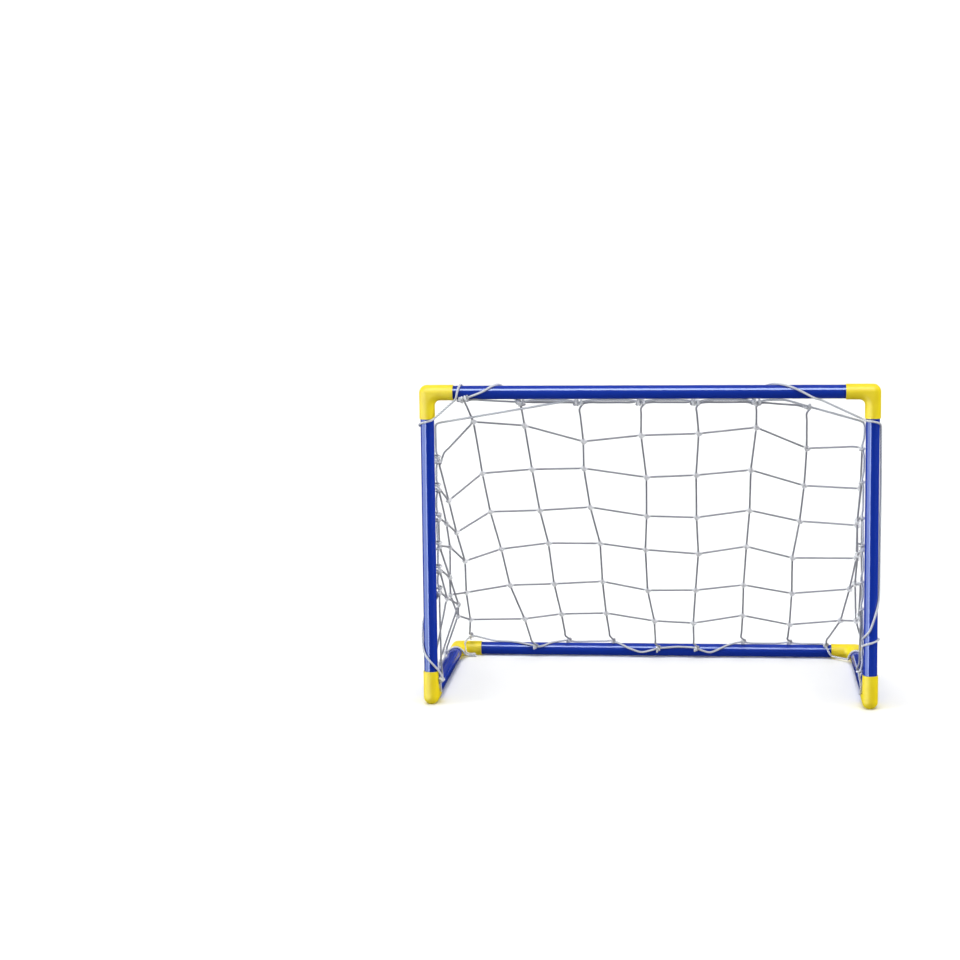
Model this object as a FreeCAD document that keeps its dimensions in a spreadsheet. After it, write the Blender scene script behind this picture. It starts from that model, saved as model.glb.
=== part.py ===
import FreeCAD, Part
import math
import os
import re
import Sketcher

# Toy football goal that knocks down: six plastic tubes pushed into six right-angle
# elbows, with a knotted net laced round the inside of the frame by one border cord.
# Millimetres. +X is to the right seen from the pitch, +Y runs from the mouth to the
# rear bar, +Z is up. The origin is the middle of the footprint, on the ground.

Vector = FreeCAD.Vector

# Driving dimensions, then the places worked out from them.
DIMENSIONS = [
    ("overall_width", "600", "across the two upper elbows"),
    ("overall_height", "428", "ground to the top of the upper elbows"),
    ("overall_depth", "340", "front of the feet to the back of the rear elbows"),
    ("tube_diameter", "18", "outside of all six tubes"),
    ("tube_wall", "1.2", "wall of a tube"),
    ("tube_break", "0.4", "chamfer outside each tube end"),
    ("elbow_diameter", "20.6", "outside of an elbow's arm"),
    ("elbow_arm", "45", "outer corner to mouth, both arms of all six elbows"),
    ("edge_land", "0.1", "flat left beside each rounded edge of an elbow"),
    ("outer_corner", "10.6", "radius of an elbow's outside corner"),
    ("inner_corner", "7", "radius of an elbow's inside corner"),
    ("socket_clearance", "0.05", "radial gap between tube and socket"),
    ("socket_stop", "12", "corner centre to the shoulder that stops a tube"),
    ("seat_gap", "0.2", "shoulder to the end of the tube"),
    ("bend_bore", "14.6", "bore that carries on through the bend"),
    ("bend_relief", "4", "how far the bend bore runs past the corner centre"),
    ("lead_in", "0.4", "chamfer inside an elbow's mouth"),
    ("mouth_break", "0.3", "chamfer outside an elbow's mouth"),
    ("resting_flat", "0.3", "depth of the flats under the four base elbows"),
    ("cord_diameter", "2.4", "border cord of the net"),
    ("cord_offset", "9", "border cord to a tube's axis, in each of two directions"),
    ("cord_bend", "25", "bend radius of the border cord"),
    ("cord_gap", "6", "between the two ends of the border cord"),
    ("net_thickness", "1", "thickness of a net panel"),
    ("net_margin", "3", "edge of a net panel to the axis of the border cord"),
    ("elbow_radius", "=elbow_diameter / 2", "outside radius of an elbow's arm"),
    ("edge_round", "=elbow_radius - edge_land", "rounding along an elbow's edges"),
    ("socket_radius", "=tube_diameter / 2 + socket_clearance", "bore for a tube"),
    ("tube_stop", "=socket_stop + seat_gap", "corner centre to the end of a tube"),
    ("post_x", "=overall_width / 2 - elbow_radius", "axes of posts and base tubes"),
    ("rear_y", "=overall_depth / 2 - elbow_radius", "axis of the rear bar"),
    ("front_y", "=-rear_y", "axes of posts and crossbar"),
    ("base_z", "=elbow_radius - resting_flat", "axes of base tubes and rear bar"),
    ("top_z", "=overall_height - elbow_radius", "axis of the crossbar"),
    ("cord_x", "=post_x - cord_offset", "border cord beside the posts"),
    ("cord_rear", "=rear_y - cord_offset", "border cord before the rear bar"),
    ("cord_front", "=front_y + cord_offset", "border cord behind the posts"),
    ("cord_low", "=base_z + cord_offset", "border cord over the base tubes"),
    ("cord_high", "=top_z - cord_offset", "border cord under the crossbar"),
]

ALIASES = [alias for alias, value, meaning in DIMENSIONS]

# Directions in the goal's frame.
RIGHT = Vector(1, 0, 0)
REARWARD = Vector(0, 1, 0)
UP = Vector(0, 0, 1)

NEARLY = 1e-6


def make_sheet(document):
    """Write the dimensions into a spreadsheet, one aliased cell for each."""
    sheet = document.addObject("Spreadsheet::Sheet", "dimensions")
    for row, (alias, value, meaning) in enumerate(DIMENSIONS, start=1):
        sheet.set("A%d" % row, alias)
        sheet.set("B%d" % row, value)
        sheet.set("C%d" % row, meaning)
        sheet.setAlias("B%d" % row, alias)
    document.recompute()
    return sheet


def bind(thing, property_name, formula):
    """Bind a property to a formula whose words are names of dimensions."""
    bound = re.sub(r"[a-z_]+", lambda word: "dimensions." + word.group(), formula)
    thing.setExpression(property_name, bound)


def add_sketch(body, name, plane_role, offset="0"):
    """Attach a sketch to one of the body's origin planes, moved along its normal."""
    sketch = body.newObject("Sketcher::SketchObject", name)
    planes = [item for item in body.Origin.OriginFeatures if item.Role == plane_role]
    sketch.AttachmentSupport = [(planes[0], "")]
    sketch.MapMode = "FlatFace"
    bind(sketch, "AttachmentOffset.Base.z", offset)
    return sketch


def draw_outline(sketch, points):
    """Draw a closed outline of straight lines; each corner is a pair of formulas."""
    count = len(points)
    turn = 2 * math.pi / count
    corners = [Vector(math.cos(step * turn), math.sin(step * turn), 0) for step in range(count)]
    for index in range(count):
        line = Part.LineSegment(corners[index], corners[(index + 1) % count])
        sketch.addGeometry(line, False)
    for index in range(count):
        following = (index + 1) % count
        sketch.addConstraint(Sketcher.Constraint("Coincident", index, 2, following, 1))
    for index, (across, upward) in enumerate(points):
        for kind, formula in (("DistanceX", across), ("DistanceY", upward)):
            number = sketch.addConstraint(Sketcher.Constraint(kind, -1, 1, index, 1, 1.0))
            bind(sketch, "Constraints[%d]" % number, formula)


def draw_circle(sketch, radius):
    """Draw a circle about the sketch's origin."""
    circle = sketch.addGeometry(Part.Circle(Vector(0, 0, 0), UP, 1), False)
    sketch.addConstraint(Sketcher.Constraint("Coincident", circle, 3, -1, 1))
    number = sketch.addConstraint(Sketcher.Constraint("Radius", circle, 1.0))
    bind(sketch, "Constraints[%d]" % number, radius)


def matching_edges(shape, test):
    """Name the edges of a shape whose bounding box passes a test."""
    names = []
    for number, edge in enumerate(shape.Edges, start=1):
        if test(edge.BoundBox):
            names.append("Edge%d" % number)
    return names


def dress(body, kind, name, base, edges, size_property, formula):
    """Add a Fillet or Chamfer of one size to named edges of the last feature."""
    feature = body.newObject("PartDesign::" + kind, name)
    feature.Base = (base, edges)
    bind(feature, size_property, formula)
    body.Document.recompute()
    return feature


def cut_outwards(body, name, sketch, towards_normal):
    """Pocket a sketch through everything on one side of its plane."""
    volume_before = body.Shape.Volume
    pocket = body.newObject("PartDesign::Pocket", name)
    pocket.Profile = sketch
    pocket.Type = "ThroughAll"
    pocket.Reversed = towards_normal
    body.Document.recompute()
    if pocket.Shape.Volume > volume_before - NEARLY:
        raise RuntimeError(name + " cuts nothing")
    return pocket


def place(body, along_x, along_z, corner):
    """Turn a body so its own +X and +Z run as given, and bind its origin's place."""
    turn = FreeCAD.Rotation(along_x, along_z.cross(along_x), along_z, "XZY")
    body.Placement = FreeCAD.Placement(Vector(0, 0, 0), turn)
    for axis, formula in zip("xyz", corner):
        bind(body, "Placement.Base." + axis, formula)


def make_tube(document, label, span, along, corner):
    """A tube between two elbows; its own +Z is its axis and `span` joins their centres."""
    body = document.addObject("PartDesign::Body", label)
    sketch = add_sketch(body, "tube_section", "XY_Plane", "tube_stop")
    draw_circle(sketch, "tube_diameter / 2")
    draw_circle(sketch, "tube_diameter / 2 - tube_wall")
    wall = body.newObject("PartDesign::Pad", "tube_wall")
    wall.Profile = sketch
    bind(wall, "Length", span + " - 2 * tube_stop")
    document.recompute()

    outer = document.dimensions.tube_diameter
    ends = matching_edges(wall.Shape, lambda box: abs(box.XLength - outer) < NEARLY
                          and box.ZLength < NEARLY)
    dress(body, "Chamfer", "tube_ends", wall, ends, "Size", "tube_break")

    across = REARWARD if along == RIGHT else RIGHT
    place(body, across, along, corner)
    return body


def make_elbow(document, label, first_arm, second_arm, corner, flat=None):
    """
    A moulded right-angle elbow. Its own frame has the corner centre at the origin, one
    arm along +X and the other along +Z. `flat` is "under" for a resting flat along the
    outside of the first arm, or "flank" for one along the side of the whole elbow.
    """
    body = document.addObject("PartDesign::Body", label)
    sheet = document.dimensions
    reach = "elbow_arm - elbow_radius"
    outline = add_sketch(body, "elbow_outline", "XZ_Plane")
    draw_outline(outline, [
        ("-elbow_radius", "-elbow_radius"),
        (reach, "-elbow_radius"),
        (reach, "elbow_radius"),
        ("elbow_radius", "elbow_radius"),
        ("elbow_radius", reach),
        ("-elbow_radius", reach),
    ])
    block = body.newObject("PartDesign::Pad", "elbow_block")
    block.Profile = outline
    block.Midplane = True
    bind(block, "Length", "elbow_diameter")
    document.recompute()

    radius = sheet.elbow_radius
    mouth = sheet.elbow_arm - radius

    def is_corner(place_along):
        return lambda box: (box.XLength < NEARLY and box.ZLength < NEARLY
                            and abs(box.XMin - place_along) < NEARLY
                            and abs(box.ZMin - place_along) < NEARLY)

    def is_at_mouth(box):
        at_first = abs(box.XMin - mouth) < NEARLY
        at_second = abs(box.ZMin - mouth) < NEARLY
        return at_first or at_second

    def is_long_edge(box):
        on_side = box.YLength < NEARLY and abs(abs(box.YMin) - radius) < NEARLY
        return on_side and not is_at_mouth(box)

    def is_lead_in(box):
        bore = sheet.socket_radius * 2
        return is_at_mouth(box) and abs(box.YLength - bore) < NEARLY

    back = dress(body, "Fillet", "outside_corner", block,
                 matching_edges(block.Shape, is_corner(-radius)), "Radius", "outer_corner")
    crook = dress(body, "Fillet", "inside_corner", back,
                  matching_edges(back.Shape, is_corner(radius)), "Radius", "inner_corner")
    rounded = dress(body, "Fillet", "rounded_edges", crook,
                    matching_edges(crook.Shape, is_long_edge), "Radius", "edge_round")
    dress(body, "Chamfer", "mouth_edges", rounded,
          matching_edges(rounded.Shape, is_at_mouth), "Size", "mouth_break")

    for arm_name, plane in (("first", "YZ_Plane"), ("second", "XY_Plane")):
        socket = add_sketch(body, arm_name + "_socket_circle", plane, "socket_stop")
        draw_circle(socket, "socket_radius")
        cut_outwards(body, arm_name + "_socket", socket, True)
        bore = add_sketch(body, arm_name + "_bore_circle", plane, "-bend_relief")
        draw_circle(bore, "bend_bore / 2")
        cut_outwards(body, arm_name + "_bore", bore, True)

    hollow = body.Tip
    last = dress(body, "Chamfer", "lead_ins", hollow,
                 matching_edges(hollow.Shape, is_lead_in), "Size", "lead_in")
    if flat:
        plane, offset = ("XY_Plane", "resting_flat - elbow_radius")
        if flat == "flank":
            plane, offset = ("XZ_Plane", "elbow_radius - resting_flat")
        shaving = add_sketch(body, "resting_flat_outline", plane, offset)
        draw_outline(shaving, [
            ("-elbow_arm", "-elbow_arm"),
            ("elbow_arm", "-elbow_arm"),
            ("elbow_arm", "elbow_arm"),
            ("-elbow_arm", "elbow_arm"),
        ])
        last = cut_outwards(body, "resting_flat", shaving, flat == "flank")
    body.Tip = last
    place(body, first_arm, second_arm, corner)
    return body


def make_back_net(document):
    """The sloping back of the net, from the crossbar down to the rear bar."""
    body = document.addObject("PartDesign::Body", "net_back")
    sketch = add_sketch(body, "slope_outline", "YZ_Plane")
    draw_outline(sketch, [
        ("cord_front + net_margin", "cord_high - net_margin - net_thickness"),
        ("cord_rear - net_margin - net_thickness", "cord_low + net_margin"),
        ("cord_rear - net_margin", "cord_low + net_margin"),
        ("cord_front + net_margin", "cord_high - net_margin"),
    ])
    panel = body.newObject("PartDesign::Pad", "slope")
    panel.Profile = sketch
    panel.Midplane = True
    bind(panel, "Length", "2 * (cord_x - net_margin)")
    return body


def make_side_net(document, label, place_x):
    """One side of the net: a triangle, clipped where the border cord bends at the foot."""
    body = document.addObject("PartDesign::Body", label)
    sketch = add_sketch(body, "side_outline", "YZ_Plane")
    draw_outline(sketch, [
        ("cord_front + cord_bend", "cord_low + net_margin"),
        ("cord_rear - 3 * net_margin", "cord_low + net_margin"),
        ("cord_front + net_margin", "cord_high - 3 * net_margin"),
        ("cord_front + net_margin", "cord_low + cord_bend"),
    ])
    panel = body.newObject("PartDesign::Pad", "side")
    panel.Profile = sketch
    panel.Midplane = True
    bind(panel, "Length", "net_thickness")
    bind(body, "Placement.Base.x", place_x)
    return body


def cord_route(sheet):
    """Corners of the border cord's loop, from one tied end round to the other."""
    right, left = sheet.cord_x, -sheet.cord_x
    front, rear = sheet.cord_front, sheet.cord_rear
    low, high = sheet.cord_low, sheet.cord_high
    tied_y = rear - sheet.cord_bend - sheet.cord_gap
    return [
        Vector(left, tied_y, low),
        Vector(left, front, low),
        Vector(left, front, high),
        Vector(right, front, high),
        Vector(right, front, low),
        Vector(right, rear, low),
        Vector(left, rear, low),
        Vector(left, tied_y + sheet.cord_gap, low),
    ]


def rounded_path(points, radius):
    """Straight runs joined by tangent arcs of one radius."""
    edges = []
    start = points[0]
    for before, corner, after in zip(points, points[1:], points[2:]):
        arriving = (corner - before).normalize()
        leaving = (after - corner).normalize()
        half_turn = arriving.getAngle(leaving) / 2
        setback = radius * math.tan(half_turn)
        arc_start = corner - arriving * setback
        arc_end = corner + leaving * setback
        centre_side = (leaving - arriving).normalize()
        middle = corner + centre_side * (radius / math.cos(half_turn) - radius)
        if (arc_start - start).Length > NEARLY:
            edges.append(Part.LineSegment(start, arc_start).toShape())
        edges.append(Part.Arc(arc_start, middle, arc_end).toShape())
        start = arc_end
    if (points[-1] - start).Length > NEARLY:
        edges.append(Part.LineSegment(start, points[-1]).toShape())
    return Part.Wire(edges)


def make_border_cord(document):
    """The cord that runs right round the net's edge, inside the frame."""
    sheet = document.dimensions
    route = cord_route(sheet)
    path = rounded_path(route, sheet.cord_bend)
    start_direction = (route[1] - route[0]).normalize()
    section = Part.Wire(Part.makeCircle(sheet.cord_diameter / 2, route[0], start_direction))
    cord = document.addObject("Part::Feature", "border_cord")
    cord.Shape = path.makePipeShell([section], True, True)
    expected = math.pi * (sheet.cord_diameter / 2) ** 2 * path.Length
    print("border cord length %.0f mm, volume %.4f of section times length"
          % (path.Length, cord.Shape.Volume / expected))
    return cord


def make_goal(document):
    """Every piece of the goal, in the order it is put together."""
    pieces = []
    for side, sign, inward in (("left", "-", RIGHT), ("right", "", -RIGHT)):
        post_x = sign + "post_x"
        front = (post_x, "front_y", "base_z")
        rear = (post_x, "rear_y", "base_z")
        top = (post_x, "front_y", "top_z")
        rear_arms = (RIGHT, -REARWARD) if side == "left" else (-REARWARD, -RIGHT)
        pieces += [
            make_elbow(document, "front_" + side + "_elbow", REARWARD, UP, front, "under"),
            make_elbow(document, "rear_" + side + "_elbow", *rear_arms, rear, "flank"),
            make_elbow(document, "top_" + side + "_elbow", inward, -UP, top),
            make_tube(document, side + "_base_tube", "rear_y - front_y", REARWARD, front),
            make_tube(document, side + "_post", "top_z - base_z", UP, front),
            make_side_net(document, "net_" + side + "_side", sign + "cord_x"),
        ]
    pieces += [
        make_tube(document, "rear_bar", "2 * post_x", RIGHT, ("-post_x", "rear_y", "base_z")),
        make_tube(document, "crossbar", "2 * post_x", RIGHT, ("-post_x", "front_y", "top_z")),
        make_back_net(document),
        make_border_cord(document),
    ]
    return pieces


def check(document, pieces):
    """Stop if any object failed to build or any piece isn't one good solid."""
    for item in document.Objects:
        if "Invalid" in item.State or "Error" in item.State:
            raise RuntimeError(item.Name + " failed: " + str(item.State))
    for piece in pieces:
        shape = piece.Shape
        if shape.isNull() or not shape.isValid() or len(shape.Solids) != 1:
            raise RuntimeError(piece.Label + " isn't one valid solid")


document = FreeCAD.newDocument("goal")
make_sheet(document)
pieces = make_goal(document)
document.recompute()
check(document, pieces)
os.makedirs("parts", exist_ok=True)
for piece in pieces:
    piece.Shape.exportStep("parts/" + piece.Label + ".step")
    print("%-18s %9.1f mm3" % (piece.Label, piece.Shape.Volume))
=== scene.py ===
import math

import bmesh
import bpy
import numpy as np
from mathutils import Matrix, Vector


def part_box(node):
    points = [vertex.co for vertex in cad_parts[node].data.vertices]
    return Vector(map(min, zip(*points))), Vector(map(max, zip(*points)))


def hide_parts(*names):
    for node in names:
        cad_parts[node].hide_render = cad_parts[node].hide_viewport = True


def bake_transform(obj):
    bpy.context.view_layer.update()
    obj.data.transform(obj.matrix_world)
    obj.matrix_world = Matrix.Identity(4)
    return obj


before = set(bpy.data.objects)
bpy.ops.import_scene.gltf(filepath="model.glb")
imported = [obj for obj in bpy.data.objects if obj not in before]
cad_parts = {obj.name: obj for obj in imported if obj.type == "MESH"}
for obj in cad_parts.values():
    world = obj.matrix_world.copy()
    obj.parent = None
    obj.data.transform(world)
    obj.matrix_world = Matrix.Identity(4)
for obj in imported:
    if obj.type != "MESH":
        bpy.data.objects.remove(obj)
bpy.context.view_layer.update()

# Toy football goal: glossy blue tubes in yellow elbows, a knotted white net inside the
# frame, and the cord that borders the net and laces it to the tubes. +X is to the right
# seen from the pitch, +Y runs from the mouth to the rear bar, +Z is up. Twine and cords
# are worked out in millimetres and turned into metres when their meshes are made.

MM = 0.001  # a millimetre, in metres

FRONT = np.array([0.0, -1.0, 0.0])
RIGHT = np.array([1.0, 0.0, 0.0])
UP = np.array([0.0, 0.0, 1.0])

TWINE_RADIUS = 1.45
CORD_RADIUS = 1.55
# How high above the ground the lowest twine and cord lie.
FLOOR_GAP = 0.05


# ---------------------------------------------------------------- the frame, as lines

class Tube:
    """A tube of the frame as a line to lay cords along, with two directions round it."""

    def __init__(self, node, axis, zero, quarter):
        low, high = (np.array(corner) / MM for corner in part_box(node))
        across = (axis + 1) % 3
        self.axis = axis
        self.middle = (low + high) / 2
        self.radius = (high[across] - low[across]) / 2
        self.zero = zero
        self.quarter = quarter

    def point(self, place, angle, reach):
        """The point at a place along the tube, an angle round it and a reach from its axis."""
        spot = self.middle.copy()
        spot[self.axis] = place
        turn = math.radians(angle)
        return spot + reach * (math.cos(turn) * self.zero + math.sin(turn) * self.quarter)


# Angles: 0 is the front of posts and bars and the inner side of base tubes. 90 is the
# top of bars and base tubes and the outer side of posts.
TUBES = {
    "crossbar": Tube("crossbar", 0, FRONT, UP),
    "rear_bar": Tube("rear_bar", 0, FRONT, UP),
    "left_post": Tube("left_post", 2, FRONT, -RIGHT),
    "right_post": Tube("right_post", 2, FRONT, RIGHT),
    "left_base_tube": Tube("left_base_tube", 1, RIGHT, UP),
    "right_base_tube": Tube("right_base_tube", 1, -RIGHT, UP),
}

ELBOWS = {
    "top_left_elbow": ("left_post", "crossbar"),
    "top_right_elbow": ("right_post", "crossbar"),
    "front_left_elbow": ("left_post", "left_base_tube"),
    "front_right_elbow": ("right_post", "right_base_tube"),
    "rear_left_elbow": ("left_base_tube", "rear_bar"),
    "rear_right_elbow": ("right_base_tube", "rear_bar"),
}


def frame_solids():
    """Start, end and radius of every tube and every arm of an elbow."""
    solids = []
    for node, tube in TUBES.items():
        low, high = (np.array(corner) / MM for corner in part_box(node))
        start, end = tube.middle.copy(), tube.middle.copy()
        start[tube.axis] = low[tube.axis]
        end[tube.axis] = high[tube.axis]
        solids.append((start, end, tube.radius))
    for node, names in ELBOWS.items():
        low, high = (np.array(corner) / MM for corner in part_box(node))
        first, second = (TUBES[name] for name in names)
        corner = first.middle.copy()
        corner[first.axis] = second.middle[first.axis]
        radius = np.maximum(corner - low, high - corner).min()
        for tube in (first, second):
            end = corner.copy()
            away_low = corner[tube.axis] - low[tube.axis]
            away_high = high[tube.axis] - corner[tube.axis]
            end[tube.axis] = low[tube.axis] if away_low > away_high else high[tube.axis]
            solids.append((corner, end, radius))
    return solids


SOLIDS = frame_solids()


def push_out(points, gap):
    """Move points that are too near a tube or elbow out to a gap from its surface."""
    gap = np.broadcast_to(gap, len(points))
    for start, end, radius in SOLIDS:
        run = end - start
        along = np.clip((points - start) @ run / (run @ run), 0, 1)
        nearest = start + along[:, None] * run
        away = points - nearest
        distance = np.linalg.norm(away, axis=1) + 1e-9
        wanted = radius + gap
        close = distance < wanted
        points[close] = nearest[close] + away[close] * (wanted / distance)[close, None]
    return points


# ---------------------------------------------------------------- the border cord

# Each key of a route is a tube, a coordinate along it, an angle round it and how far the
# cord stands off it. "free" is a point off the tubes. Given in order.
BORDER_ROUTE = [
    ("free", -261, 143, 1.6),
    ("free", -270, 142, 2.2),
    ("free", -277, 141, 3.4),
    ("left_base_tube", 130, -10, 1.5),
    ("left_base_tube", 121, 12, 0.6),
    ("left_base_tube", 113, 90, 0),
    ("left_base_tube", 101, 144, 0),
    ("left_base_tube", 62, 158, 0),
    ("left_base_tube", 6, 152, 0),
    ("left_base_tube", -62, 160, 0),
    ("left_base_tube", -112, 150, 0),
    ("left_base_tube", -131, 96, 1.5),
    ("left_base_tube", -140, 24, 1.5),
    ("left_base_tube", -146, 10, 1.5),
    ("left_post", 26, -92, 1.5),
    ("left_post", 43, -74, 0.4),
    ("left_post", 50, -48, 0),
    ("left_post", 60, 0, 0),
    ("left_post", 71, 52, 0),
    ("left_post", 90, 84, 0.3),
    ("left_post", 111, 104, 0),
    ("left_post", 128, 170, 0),
    ("left_post", 146, 246, 0),
    ("left_post", 205, 264, 1.2),
    ("left_post", 262, 254, 0),
    ("left_post", 332, 264, 0.8),
    ("left_post", 377, 268, 0),
    ("crossbar", -99, -88, 0),
    ("crossbar", 20, -92, 0),
    ("crossbar", 100, -87, 0),
    ("crossbar", 178, -90, 0),
    ("free", 208, -156.5, 398),
    ("right_post", 378, -96, 0),
    ("right_post", 345, -98, 0),
    ("right_post", 262, -106, 1.6),
    ("right_post", 176, -98, 0),
    ("right_post", 110, -112, 1.0),
    ("right_post", 58, -96, 0),
    ("right_post", 26, -92, 1.5),
    ("right_base_tube", -140, 16, 1.5),
    ("right_base_tube", -132, 88, 1.5),
    ("right_base_tube", -112, 146, 0),
    ("right_base_tube", -58, 158, 0),
    ("right_base_tube", 6, 150, 0),
    ("right_base_tube", 66, 160, 0),
    ("right_base_tube", 102, 140, 0),
    ("right_base_tube", 114, 80, 0),
    ("right_base_tube", 121, 0, 0.4),
    ("right_base_tube", 128, -30, 1.5),
    ("rear_bar", 255, -34, 0),
    ("rear_bar", 250, 20, 0),
    ("rear_bar", 244, 84, 0),
    ("rear_bar", 205, 104, 0),
    ("rear_bar", 150, 96, 0),
    ("rear_bar", 113, 78, 0),
    ("rear_bar", 96, 26, 0),
    ("rear_bar", 80, -14, 0),
    ("rear_bar", 57, 28, 0),
    ("rear_bar", 34, 36, 0),
    ("rear_bar", 6, 22, 0),
    ("rear_bar", -20, -16, 0),
    ("rear_bar", -40, 24, 0),
    ("rear_bar", -56, 78, 0),
    ("rear_bar", -72, 104, 1.2),
    ("rear_bar", -118, 112, 0),
    ("rear_bar", -149, 80, 0),
    ("rear_bar", -161, 36, 0),
    ("rear_bar", -171, 20, 0),
    ("rear_bar", -188, 48, 0),
    ("rear_bar", -210, 82, 0),
    ("rear_bar", -234, 88, 0),
    ("free", -270, 152, 31),
    ("rear_bar", -280, 52, 1.4),
    ("rear_bar", -281, 6, 1.4),
    ("free", -277, 143, 5.0),
    ("free", -271, 143.5, 3.8),
    ("rear_bar", -264, -34, 1.5),
]

LEFT_LACING = [
    ("left_post", 373, 122, 2.5),
    ("left_post", 376, 84, 0),
    ("left_post", 380, 20, 0),
    ("left_post", 382, -46, 0),
    ("crossbar", -252, -62, 0),
    ("crossbar", -249, 0, 0),
    ("crossbar", -245, 82, 0),
    ("crossbar", -243, 180, 0),
    ("crossbar", -247, 262, 0),
    ("crossbar", -251, 300, 0),
    ("crossbar", -236, 326, 0),
    ("crossbar", -214, 372, 0),
    ("crossbar", -199, 432, 0),
    ("crossbar", -190, 500, 0),
    ("crossbar", -178, 578, 0),
    ("crossbar", -167, 624, 0),
    ("crossbar", -140, 632, 0),
    ("crossbar", -103, 627, 0),
]

RIGHT_LACING = [
    ("crossbar", 118, 262, 1.2),
    ("crossbar", 132, 226, 0),
    ("crossbar", 150, 150, 0),
    ("crossbar", 163, 92, 0),
    ("crossbar", 182, 50, 0),
    ("crossbar", 203, -6, 0),
    ("crossbar", 222, -66, 0),
    ("right_post", 381, -80, 0),
    ("right_post", 381, 0, 0),
    ("right_post", 375, 82, 0),
    ("right_post", 300, 96, 0.6),
    ("right_post", 200, 88, 0),
    ("right_post", 153, 84, 0),
    ("right_post", 128, 34, 0),
    ("right_post", 104, -12, 0),
    ("right_post", 92, -84, 0),
    ("right_post", 90, -180, 0),
    ("right_post", 94, -268, 0),
    ("right_post", 90, -352, 0),
    ("right_post", 84, -448, 0),
    ("right_post", 64, -462, 1.2),
]

# The distance between points laid along a route, and how often its corners are smoothed.
ROUTE_STEP = 1.5
SMOOTHING = 14


def key_point(key, radius):
    """The place of one key of a route, for a cord of a radius."""
    name, *values = key
    if name == "free":
        return np.array(values, float)
    place, angle, lift = values
    tube = TUBES[name]
    return tube.point(place, angle, tube.radius + radius + lift)


def lay_route(keys, radius):
    """A smooth line through the keys: helices along the tubes, straight between them."""
    points = [key_point(keys[0], radius)]
    for here, after in zip(keys, keys[1:]):
        start, end = key_point(here, radius), key_point(after, radius)
        on_tube = here[0] == after[0] and here[0] != "free"
        length = np.linalg.norm(end - start)
        if on_tube:
            arc = math.radians(after[2] - here[2]) * TUBES[here[0]].radius
            length = math.hypot(after[1] - here[1], arc)
        count = max(2, round(length / ROUTE_STEP))
        for share in np.arange(1, count + 1) / count:
            if on_tube:
                values = np.array(here[1:]) * (1 - share) + np.array(after[1:]) * share
                points.append(key_point((here[0], *values), radius))
            else:
                points.append(start * (1 - share) + end * share)
    line = np.array(points)
    for _ in range(SMOOTHING):
        line[1:-1] = line[:-2] / 4 + line[1:-1] / 2 + line[2:] / 4
        push_out(line, radius)
    return line


# ---------------------------------------------------------------- bands over the joints

# The net and its cord cross all four joints, in four bands down the slope, measured up it
# from the foot of the back, each between two rows of knots. The twine is made in one piece
# for each band, and the pieces are cut between two bands.
SLOPE_FOOT = np.array([0.0, 150.7, 19.0])
UP_SLOPE = np.array([0.0, -0.6117, 0.7909])
# Each band's name, the bodies below and above it, and where it starts and ends.
BANDS = [
    ("rear", "rear_frame", "side_tubes", 11, 44),
    ("base", "side_tubes", "feet", 140, 180),
    ("lower", "feet", "posts", 217, 260),
    ("upper", "posts", "top_bar", 454, 478),
]
CUTS = [92, 182, 330]


# ---------------------------------------------------------------- the net's lattice

# Knots are (row, column). Rows run down from the crossbar, columns across from left to
# right: 0 and 8 are the edges where the back turns into the sides, and the columns
# beyond them belong to the sides, which have more meshes lower down.
LAST_ROW = 7
LAST_COLUMN = 8
SIDE_MESHES = [0, 0, 1, 2, 2, 3, 4, 4]
CROSSBAR_TIES = [-238, -167, -90, -9, 62, 141, 208]
REAR_TIES = [-176, -129, -66, 0, 58, 126, 192]
# Heights of a side's ties on its post, from the first row down.
LEFT_POST_TIES = [329, 291, 252, 214, 182, 152, 38]
RIGHT_POST_TIES = [346, 302, 256, 212, 172, 136, 46]
# The side's ties along its base tube, from the rear.
BASE_TIES = [88, 14, -66]
# How far down the slope the rows lie. The first row is drawn up to the crossbar by a
# different amount in each column, and the rows below it by less.
ROW_SHARES = [0, 0.12, 0.275, 0.43, 0.575, 0.735, 0.877, 1]
FIRST_SHARES = [0.068, 0.095, 0.148, 0.135, 0.128, 0.103, 0.162]
LOWER_SHIFTS = [-0.005, -0.018, -0.021, 0.010, 0.012, -0.015, 0.028]
# How far the first column swings out, and how far the left and right edges hang down and in.
FIRST_COLUMN_SWING = 9
EDGE_DROOP = (12, 11)
EDGE_PULL = (10, -8)
# Where the left and right edges meet the rear bar: their ties, the corners they aim at, and
# the height above it.
EDGE_TIES = (-271, 250)
EDGE_CORNERS = (-274, 262)
EDGE_LIFT = 8
# Where the twine goes round tubes: degrees round a base tube and round the rear bar.
BASE_TIE_ANGLE = 150
REAR_TIE_ANGLE = 60
SEED = 9127
# How far free knots are moved at random, across the slope and down it, and the most times
# that far that one may go.
UNEVEN_ACROSS = 4.0
UNEVEN_DOWN = 2.6
UNEVEN_LIMIT = 1.5
# Segments to the twine between two knots, and its spare length and bow, which are larger
# in the sides than in the back.
BAR_PARTS = 6
BACK_SLACK = 0.004
BACK_BOW = 0.8
SIDE_SLACK = 0.02
SIDE_EXTRA_SLACK = {"right": 0.16, "down": 0.05}
SIDE_BOW = 4.0
# How the net is left to hang.
RELAX_STEPS = 60
GRAVITY = 0.006
DAMPING = 0.90
SWEEPS = 8
STIFFNESS = 0.35

# The four legs of a knot: the step to its neighbour, the leg across, and the leg by which
# a strand leaves that reaches the knot by this one.
STEPS = {"up": (-1, 0), "down": (1, 0), "left": (0, -1), "right": (0, 1)}
OPPOSITE = {"up": "down", "down": "up", "left": "right", "right": "left"}
LEAVES_BY = {"up": "right", "right": "up", "left": "down", "down": "left"}


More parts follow.
